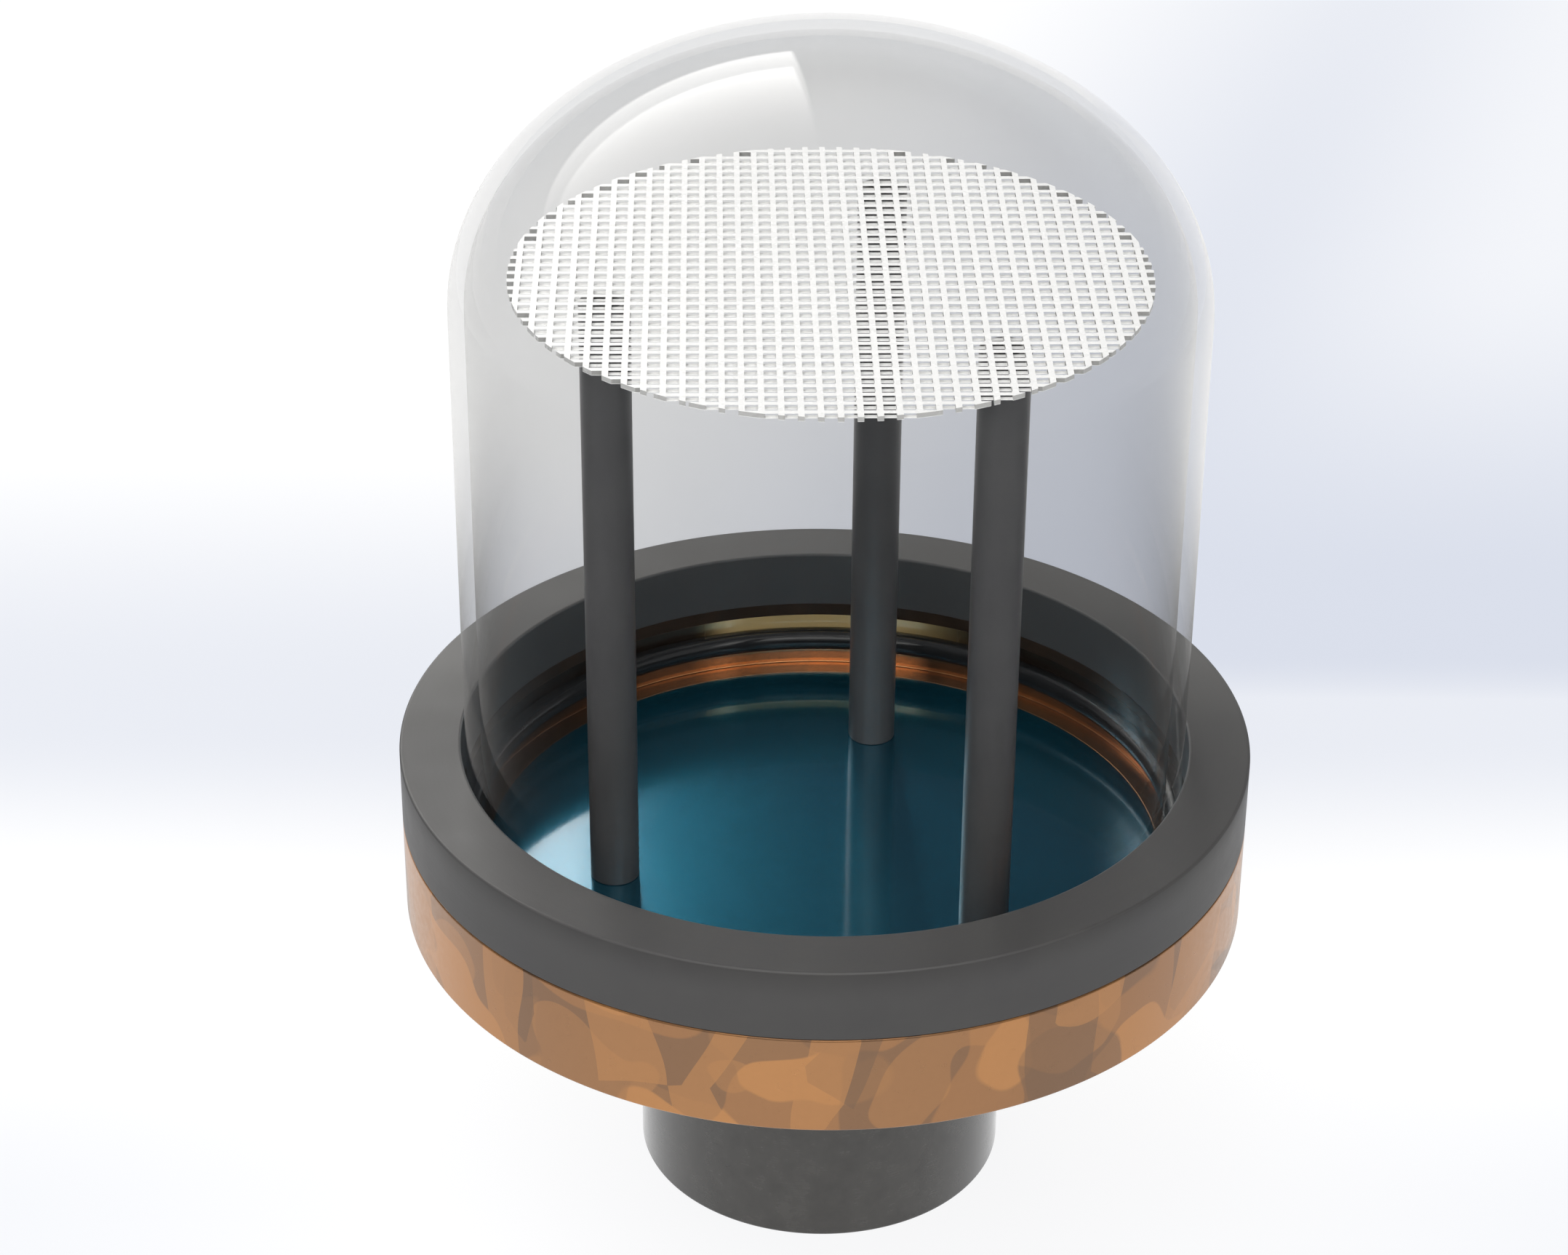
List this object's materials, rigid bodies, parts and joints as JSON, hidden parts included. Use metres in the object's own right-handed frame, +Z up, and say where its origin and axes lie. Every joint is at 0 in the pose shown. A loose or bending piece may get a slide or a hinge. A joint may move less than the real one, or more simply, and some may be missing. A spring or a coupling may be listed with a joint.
{
  "type": "cloud chamber",
  "caption": "Bench cloud chamber: glass bell jar on a rubber seal in a dark collar, blue cold plate in a copper base, square-holed shelf on hollow posts, round cold stem below.",
  "frame": {"origin": "middle of the stem's flat foot, on the axis of the instrument", "axes": "+Z up along the jar's axis, +Y to the back, +X to the right as seen from the front"},
  "size_m": [0.148, 0.148, 0.2118],
  "materials": {
    "clear_glass": "clear polished glass",
    "black_rubber": "glossy moulded rubber",
    "dark_collar": "turned, matte",
    "brown_gasket": "matte sheet",
    "brass_insert": "machined",
    "dark_steel": "blackened",
    "copper": "lacquered copper with patches of light and dark tarnish",
    "blue_plate": "blue anodised, mirror polished",
    "soft_foil": "soft metal foil",
    "dark_post": "dark anodised tube, satin",
    "plain_steel": "plain steel",
    "white_mesh": "white enamelled sheet",
    "grey_stem": "dark anodised, faint mottle"
  },
  "bodies": {
    "base": {"cold_stem": "grey_stem", "stem_foil": "soft_foil", "stem_screws": "plain_steel", "copper_base": "copper", "plate_foil": "soft_foil", "cold_plate": "blue_plate", "collar_gasket": "brown_gasket", "collar_ring": "dark_collar", "collar_inserts": "brass_insert", "collar_screws": "dark_steel", "jar_seal": "black_rubber", "stud_back": "plain_steel", "stud_right": "plain_steel", "stud_left": "plain_steel", "post_back": "dark_post", "post_right": "dark_post", "post_left": "dark_post"},
    "jar": {"bell_jar": "clear_glass"},
    "shelf": {"mesh_shelf": "white_mesh"}
  },
  "joints": [
    {"name": "jar_lift", "type": "slide", "parent": "base", "child": "jar", "axis": [0, 0, 1], "range_m": [0, 0.12]},
    {"name": "shelf_lift", "type": "slide", "parent": "base", "child": "shelf", "axis": [0, 0, 1], "range_m": [0, 0.01]}
  ]
}
